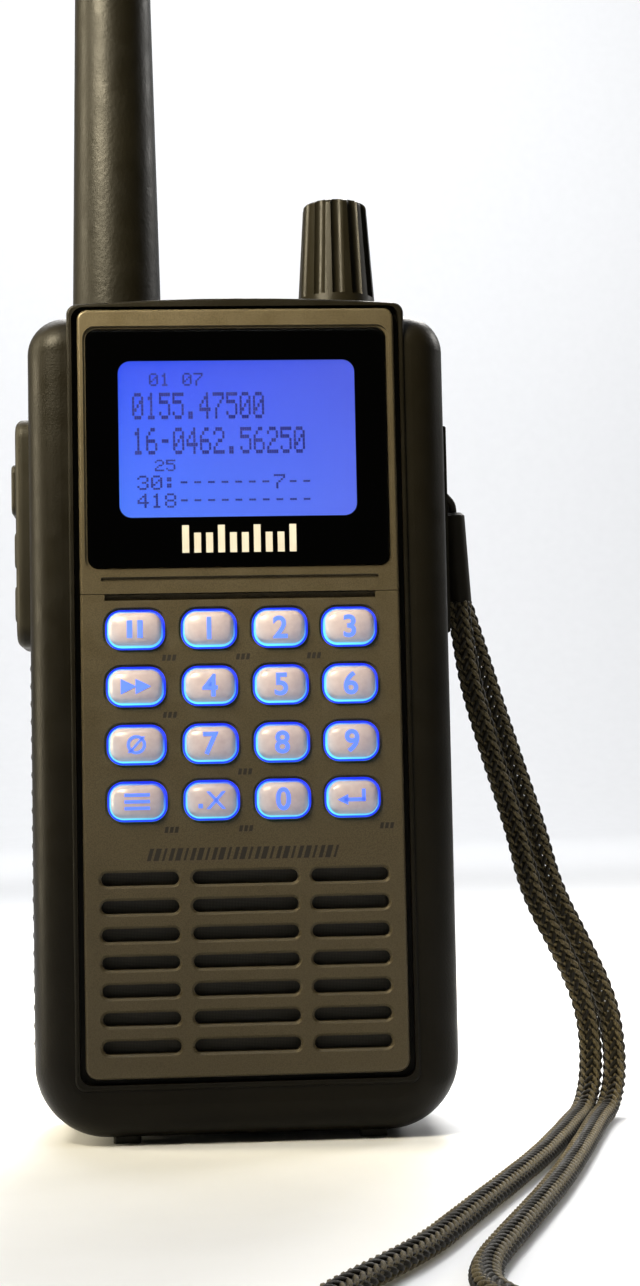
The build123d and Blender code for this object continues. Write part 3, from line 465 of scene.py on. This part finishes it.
def tube_mesh(made, line, radius, sides, slot):
    """Add a closed round tube along a line to a bmesh."""
    _, wide, thin = carried_frames(line, perpendicular_to(line))
    rings = []
    for centre, a, b in zip(line, wide, thin):
        ring = []
        for side in range(sides):
            turn = 2 * math.pi * side / sides
            ring.append(made.verts.new(centre + radius * (math.cos(turn) * a + math.sin(turn) * b)))
        rings.append(ring)
    for first, second in zip(rings, rings[1:]):
        for side in range(sides):
            after = (side + 1) % sides
            face = made.faces.new((first[side], first[after], second[after], second[side]))
            face.material_index = slot
            face.smooth = True
    for ring, order in ((rings[0], -1), (rings[-1], 1)):
        cap = made.faces.new(ring[::order])
        cap.material_index = slot


def perpendicular_to(line):
    """A direction square to the middle of a line."""
    middle = len(line) // 2
    tangent = Vector(line[middle + 1] - line[middle])
    return np.array(tangent.orthogonal().normalized())


def braid(name, points):
    """A flat tubular braid: strands wind both ways round an oval and pass over and under each other."""
    line, length = smooth_line(name, points, BRAID_LAY / STEPS_PER_TURN)
    _, wide, thin = carried_frames(line, (0, 0, 1))
    turns = length / BRAID_LAY
    fraction = np.linspace(0.0, 1.0, len(line))
    half_wide = STRAP_WIDE / 2 - BRAID_INSET
    half_thin = STRAP_THICK / 2 - BRAID_INSET
    made = bmesh.new()
    for strand in range(STRANDS):
        hand = 1 if strand % 2 else -1
        start = 2 * math.pi * (strand // 2) / (STRANDS / 2)
        angle = start + hand * 2 * math.pi * turns * fraction
        weave = np.cos(angle * hand * STRANDS / 4 - start * STRANDS / 4 * hand + (math.pi if hand > 0 else 0)
                       + strand // 2 * math.pi)
        lift = BRAID_LIFT * weave
        across = (half_wide + lift) * np.cos(angle)
        through = (half_thin + lift) * np.sin(angle)
        path = line + across[:, None] * wide + through[:, None] * thin
        # Strands of one hand take the second slot, the lighter yarn of painted highlight dots.
        tube_mesh(made, path, STRAND_RADIUS, STRAND_SIDES, strand % 2)
    mesh = finish_mesh(made, name)
    obj = piece(name, mesh, dark_yarn, CASE)
    # Second slot: the lighter yarn, painted highlight along the braid.
    mesh.materials.append(painted_highlight_yarn.material)
    return obj, line


# ---- Camera ----
SENSOR = 36.0
LENS_LENGTH = 58.55
CAMERA_PLACE = (-0.0063, -0.3205, 0.0498)
YAW, PITCH, ROLL = 0.0587, 0.0706, -0.0205  # radians


def aim_camera():
    """The camera stands in front of the case, a little to its left and below the display."""
    data = bpy.data.cameras.new("camera")
    data.sensor_width = SENSOR
    data.lens = LENS_LENGTH
    data.clip_start = 0.01
    camera = bpy.data.objects.new("camera", data)
    bpy.context.scene.collection.objects.link(camera)
    ahead = Vector((math.sin(YAW) * math.cos(PITCH), math.cos(YAW) * math.cos(PITCH), math.sin(PITCH)))
    level = Vector((math.cos(YAW), -math.sin(YAW), 0.0))
    upright = level.cross(ahead)
    right = math.cos(ROLL) * level + math.sin(ROLL) * upright
    up = math.cos(ROLL) * upright - math.sin(ROLL) * level
    turn = Matrix((right, up, -ahead)).transposed().to_4x4()
    camera.matrix_world = Matrix.Translation(CAMERA_PLACE) @ turn
    bpy.context.scene.camera = camera


aim_camera()
strap, strap_line = braid("wrist_strap", STRAP_ROUTE)
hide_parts("strap_cord")

# ---- Key legends ----
KEY_DIGITS = [name for name in KEYS if name[4:].isdigit()]
DIGIT_HEIGHT = 3.2 * MM
LEGEND_THICK = 0.04 * MM


def key_face(name):
    """Middle of a key's top face."""
    low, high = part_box(name)
    return (low.x + high.x) / 2, low.y, (low.z + high.z) / 2


def digit_mesh(text, height, thickness):
    """A figure in the plain built-in face, as a closed mesh in the front view about its own middle."""
    curve = bpy.data.curves.new(f"figure_{text}", "FONT")
    curve.body = text
    curve.size = height * 1.38
    curve.align_x = "CENTER"
    curve.align_y = "CENTER"
    curve.extrude = thickness
    curve.offset = height * 0.028
    holder = bpy.data.objects.new(curve.name, curve)
    mesh = bpy.data.meshes.new_from_object(holder)
    bpy.data.objects.remove(holder)
    places = np.array([v.co for v in mesh.vertices])
    middle = (places.max(0) + places.min(0)) / 2
    mesh.transform(Matrix.Rotation(math.pi / 2, 4, "X") @ Matrix.Translation(-Vector(middle)))
    return mesh


def ring_outlines(x, z, radius, width, start=0, end=360, steps=20):
    """A ring or part of one, as four-sided outlines."""
    outlines = []
    for i in range(steps):
        first = math.radians(start + (end - start) * i / steps)
        second = math.radians(start + (end - start) * (i + 1) / steps)
        inner, outer = radius - width / 2, radius + width / 2
        outlines.append([
            (x + r * math.cos(a), z + r * math.sin(a))
            for r, a in ((inner, first), (outer, first), (outer, second), (inner, second))
        ])
    return outlines


def arrow(x, z, size, direction=1):
    """A solid triangle that points along X."""
    back, tip = x - direction * size / 2, x + direction * size / 2
    return [(back, z - size / 2), (tip, z), (back, z + size / 2)]


def symbol(kind, x, z):
    """Outlines of a plain symbol, centred on a key."""
    u = MM
    if kind == "hold":
        return [bar(x - 0.75 * u, z, 0.75 * u, 2.5 * u), bar(x + 0.75 * u, z, 0.75 * u, 2.5 * u)]
    if kind == "scan":
        return [arrow(x - 1.0 * u, z, 2.2 * u), arrow(x + 1.1 * u, z, 2.2 * u)]
    if kind == "lockout":
        return ring_outlines(x, z, 1.15 * u, 0.42 * u) + [bar(x, z, 0.42 * u, 2.3 * u, 0.9)]
    if kind == "menu":
        return [bar(x, z + step * 0.95 * u, 3.6 * u, 0.45 * u) for step in (-1, 0, 1)]
    if kind == "no":
        return [bar(x - 1.6 * u, z - 0.8 * u, 0.6 * u, 0.6 * u), bar(x + 0.6 * u, z, 0.5 * u, 2.5 * u, 0.9),
                bar(x + 0.6 * u, z, 0.5 * u, 2.5 * u, -0.9)]
    return [bar(x + 0.2 * u, z - 0.3 * u, 3.0 * u, 0.5 * u), bar(x + 1.5 * u, z + 0.35 * u, 0.5 * u, 1.7 * u),
            arrow(x - 1.5 * u, z - 0.3 * u, 1.5 * u, -1)]


for name in KEY_DIGITS:
    x, y, z = key_face(name)
    mesh = digit_mesh(name[4:], DIGIT_HEIGHT, LEGEND_THICK)
    mesh.transform(Matrix.Translation((x, y, z)))
    piece(f"legend_{name[4:]}", mesh, legend, name)
for kind in ("hold", "scan", "lockout", "menu", "no", "enter"):
    x, y, z = key_face(f"key_{kind}")
    printed(f"legend_{kind}", symbol(kind, x, z), y, LEGEND_THICK, legend, f"key_{kind}")

# ---- Blue light round the keys ----
GLOW_INSET = 0.06 * MM
GLOW_WIDTH = 0.26 * MM
GLOW_DEPTH = 0.55 * MM
KEY_CORNER = 1.95 * MM


def key_glow():
    """The lip of the translucent keypad mat that shows round each key."""
    made = bmesh.new()
    for name in KEYS:
        x, z, wide, tall = cap_edges(name)
        rims = [bar(x, z, 2 * (wide + grow), 2 * (tall + grow), radius=KEY_CORNER + grow)
                for grow in (GLOW_INSET, GLOW_INSET + GLOW_WIDTH)]
        rings = [[made.verts.new((a, y, b)) for a, b in rim]
                 for rim, y in ((rims[0], FRONT + GLOW_DEPTH), (rims[1], FRONT + GLOW_DEPTH),
                                (rims[1], FRONT + 2 * GLOW_DEPTH), (rims[0], FRONT + 2 * GLOW_DEPTH))]
        for first, second in zip(rings, rings[1:] + rings[:1]):
            for i in range(len(first)):
                j = (i + 1) % len(first)
                made.faces.new((first[i], first[j], second[j], second[i]))
    return piece("key_glow", finish_mesh(made, "key_glow"), key_light, CASE)


key_glow()


# ---- Display contents ----
DOTS = {
    "0": "01110 10001 10011 10101 11001 10001 01110",
    "1": "00100 01100 00100 00100 00100 00100 01110",
    "2": "01110 10001 00001 00110 01000 10000 11111",
    "3": "01110 10001 00001 00110 00001 10001 01110",
    "4": "00010 00110 01010 10010 11111 00010 00010",
    "5": "11111 10000 11110 00001 00001 10001 01110",
    "6": "00110 01000 10000 11110 10001 10001 01110",
    "7": "11111 00001 00010 00100 01000 01000 01000",
    "8": "01110 10001 10001 01110 10001 10001 01110",
    "9": "01110 10001 10001 01111 00001 00010 01100",
    ".": "00000 00000 00000 00000 00000 01100 01100",
    ":": "00000 01100 01100 00000 01100 01100 00000",
    "-": "00000 00000 00000 01110 00000 00000 00000",
    "|": "00100 01110 11111 00100 00100 00100 00100",
    " ": "00000 00000 00000 00000 00000 00000 00000",
}
# Text, left edge and top as shares of the window, width of a dot column and height of a dot row
WINDOW_WIDTH = 34.4 * MM
WINDOW_LOW = LENS_LOW.z + 7.5 * MM
WINDOW_HEIGHT = 22.9 * MM
DOT_FILL = 0.92  # of a dot's cell
DOT_THICK = 0.01 * MM
LCD_LINES = [
    ("01 07", 0.130, 0.075, 0.270, 0.270),
    ("0155.47500", 0.058, 0.200, 0.325, 0.560),
    ("16-0462.56250", 0.058, 0.425, 0.325, 0.560),
    ("25", 0.150, 0.630, 0.270, 0.240),
    ("30:-------7--", 0.075, 0.730, 0.330, 0.300),
    ("418----------", 0.075, 0.845, 0.330, 0.300),
]


def lcd_characters():
    """Dots of the figures, just in front of the glass."""
    made = bmesh.new()
    y = GLASS_LOW.y - 2 * DOT_THICK
    for text, left, top, column, row in LCD_LINES:
        for index, character in enumerate(text):
            for line, dots in enumerate(DOTS[character].split()):
                for place, dot in enumerate(dots):
                    if dot == "1":
                        x = -WINDOW_WIDTH / 2 + left * WINDOW_WIDTH + (index * 6 + place + 0.5) * column * MM
                        z = WINDOW_LOW + (1 - top) * WINDOW_HEIGHT - (line + 0.5) * row * MM
                        outline = bar(x, z, DOT_FILL * column * MM, DOT_FILL * row * MM)
                        prism(made, outline, y - DOT_THICK, y + DOT_THICK)
    return piece("lcd_characters", finish_mesh(made, "lcd_characters"), lcd_ink, CASE)


lcd_characters()

# ---- Printed marks ----
MARK_STROKES = 10
MARK_PITCH = 1.72 * MM
MARK_WIDTH = 1.0 * MM
MARK_TALL, MARK_SHORT = 4.0 * MM, 2.9 * MM
MARK_FOOT = LENS_LOW.z + 2.2 * MM


def display_mark():
    """A plain row of upright strokes below the screen."""
    outlines = []
    for stroke in range(MARK_STROKES):
        height = MARK_SHORT if stroke % 3 else MARK_TALL
        x = (stroke - (MARK_STROKES - 1) / 2) * MARK_PITCH
        outlines.append(bar(x, MARK_FOOT + height / 2, MARK_WIDTH, height))
    return printed("display_mark", outlines, LENS_LOW.y, 0.03 * MM, silver_print, CASE)


RULE_HEIGHT = 41.2 * MM
RULE_PITCH, RULE_TALL, RULE_SHIFT = 1.02 * MM, 1.75 * MM, -0.2 * MM
RULE_WIDTHS = (0.75 * MM, 0.35 * MM, 0.55 * MM)
DASH_RIGHT, DASH_BELOW, DASH_PITCH = 4.1 * MM, 4.1 * MM, 0.72 * MM
DASH_WIDTH, DASH_TALL = 0.48 * MM, 0.85 * MM
DASH_LEAN, RULE_LEAN = 0.2, 0.3  # slopes
MARKED_KEYS = ["key_hold", "key_1", "key_2", "key_scan", "key_7", "key_menu", "key_no", "key_enter"]


def keypad_marks():
    """Three short dashes beside some of the keys, and a row of slanted bars above the grille."""
    outlines = []
    for name in MARKED_KEYS:
        x, _, z = key_face(name)
        for step in range(3):
            place = x + DASH_RIGHT + DASH_PITCH * step
            outlines.append(bar(place, z - DASH_BELOW, DASH_WIDTH, DASH_TALL, DASH_LEAN))
    for step in range(-13, 14):
        place = RULE_PITCH * step + RULE_SHIFT
        outlines.append(bar(place, RULE_HEIGHT, RULE_WIDTHS[step % 3], RULE_TALL, RULE_LEAN))
    return printed("keypad_marks", outlines, FRONT, 0.02 * MM, dark_print, CASE)


display_mark()
keypad_marks()

# ---- Grips on the sides of the case ----
CASE_LOW, CASE_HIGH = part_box("front_shell")
GRIP_PITCH = 2.6 * MM
GRIP_RIBS = 22
GRIP_LOW = 13.0 * MM  # from the foot of the shell to the lowest rib
# Section of a rib: place up the wall and height off it. The feet of the rib are sunk in the wall.
RIB_SECTION = [
    (-1.25, -0.15), (-0.85, 0.12), (-0.4, 0.38), (0.0, 0.46), (0.4, 0.38), (0.85, 0.12), (1.25, -0.15),
]
# Places along a rib, back from the front of the case, and its share of the full height there
RIB_STATIONS = [(7.0, 0.0), (8.2, 0.7), (9.4, 1.0), (20.6, 1.0), (21.8, 0.7), (23.0, 0.0)]


def side_grip(name, side):
    """A row of low rounded ribs on one side wall, tapering off at both ends."""
    made = bmesh.new()
    wall = CASE_HIGH.x * side
    for rib in range(GRIP_RIBS):
        z = CASE_LOW.z + GRIP_LOW + rib * GRIP_PITCH
        rings = []
        for depth, swell in RIB_STATIONS:
            ring = []
            for rise, proud in RIB_SECTION:
                off_wall = proud * swell if proud > 0 else proud
                ring.append(made.verts.new((wall + side * off_wall * MM, FRONT + depth * MM, z + rise * MM)))
            rings.append(ring)
        for first, second in zip(rings, rings[1:]):
            for i in range(len(first)):
                j = (i + 1) % len(first)
                made.faces.new((first[i], first[j], second[j], second[i])).smooth = i < len(first) - 1
        made.faces.new(rings[0])
        made.faces.new(rings[-1][::-1])
    return piece(name, finish_mesh(made, name), pod, CASE)


side_grip("grip_left", -1)
side_grip("grip_right", 1)


# ---- Floor, light and surroundings ----
def studio():
    """A pale floor that curves up behind the object."""
    made = bmesh.new()
    width, depth, height, curve = 4.0, 2.2, 3.0, 0.5
    profile = [(-2.5, 0.0), (depth - curve, 0.0)]
    for step in range(1, 13):
        turn = math.radians(90 * step / 12)
        profile.append((depth - curve + curve * math.sin(turn), curve - curve * math.cos(turn)))
    profile.append((depth, height))
    rows = [[made.verts.new((side * width, y, z)) for y, z in profile] for side in (-1, 1)]
    for i in range(len(profile) - 1):
        made.faces.new((rows[0][i], rows[1][i], rows[1][i + 1], rows[0][i + 1])).smooth = True
    mesh = finish_mesh(made, "studio")
    floor = bpy.data.objects.new("studio", mesh)
    bpy.context.scene.collection.objects.link(floor)
    dress(floor, grained("studio_paper", (0.85, 0.86, 0.88), (0.89, 0.90, 0.92), 0.9, 300.0, 0.0001, 0.05))


WARM = (1.0, 0.88, 0.62)
COOL = (0.93, 0.96, 1.0)
SOFT_WHITE = (1.0, 0.97, 0.92)
WHITE = (1.0, 1.0, 1.0)
# Place, target, size, power in watts, colour and spread in degrees
SOFTBOXES = {
    "key_softbox": ((-0.13, -0.14, 0.25), (-0.02, 0.0, 0.15), (0.10, 0.08), 0.36, WARM, 62.0),
    "edge_softbox": ((-0.32, 0.02, 0.18), (-0.03, 0.0, 0.10), (0.06, 0.34), 0.50, WARM, 90.0),
    "floor_softbox": ((0.0, 0.50, 0.70), (0.0, 0.26, 0.0), (0.9, 0.4), 2.2, WHITE, 80.0),
    "front_softbox": ((0.10, -0.35, 0.80), (0.12, -0.22, 0.0), (0.5, 0.3), 0.25, COOL, 50.0),
    "rear_softbox": ((0.10, 0.50, 0.55), (0.0, 0.03, 0.09), (0.35, 0.2), 0.45, SOFT_WHITE, 45.0),
    "right_softbox": ((0.50, 0.28, 0.40), (0.03, 0.02, 0.08), (0.2, 0.2), 0.12, SOFT_WHITE, 40.0),
    "back_softbox": ((0.0, 0.9, 1.3), (0.0, 2.0, 0.3), (1.8, 0.8), 27.0, WHITE, 180.0),
}


def softbox(name, place, target, size, power, color, spread):
    """A rectangular lamp that faces a target."""
    data = bpy.data.lights.new(name, "AREA")
    data.shape = "RECTANGLE"
    data.size, data.size_y = size
    data.energy = power
    data.color = color
    data.spread = math.radians(spread)
    lamp = bpy.data.objects.new(name, data)
    bpy.context.scene.collection.objects.link(lamp)
    lamp.location = place
    lamp.rotation_euler = (Vector(target) - Vector(place)).to_track_quat("-Z", "Y").to_euler()


def light_scene():
    """A weak surround and the softboxes: warm ones at the left, others for the floor, back and right side."""
    world = bpy.data.worlds.new("surroundings")
    bpy.context.scene.world = world
    world.use_nodes = True
    background = world.node_tree.nodes["Background"]
    background.inputs["Color"].default_value = (1.0, 0.92, 0.76, 1.0)
    background.inputs["Strength"].default_value = 0.03
    for name, settings in SOFTBOXES.items():
        softbox(name, *settings)
    bpy.context.scene.view_settings.view_transform = "Standard"


studio()
light_scene()
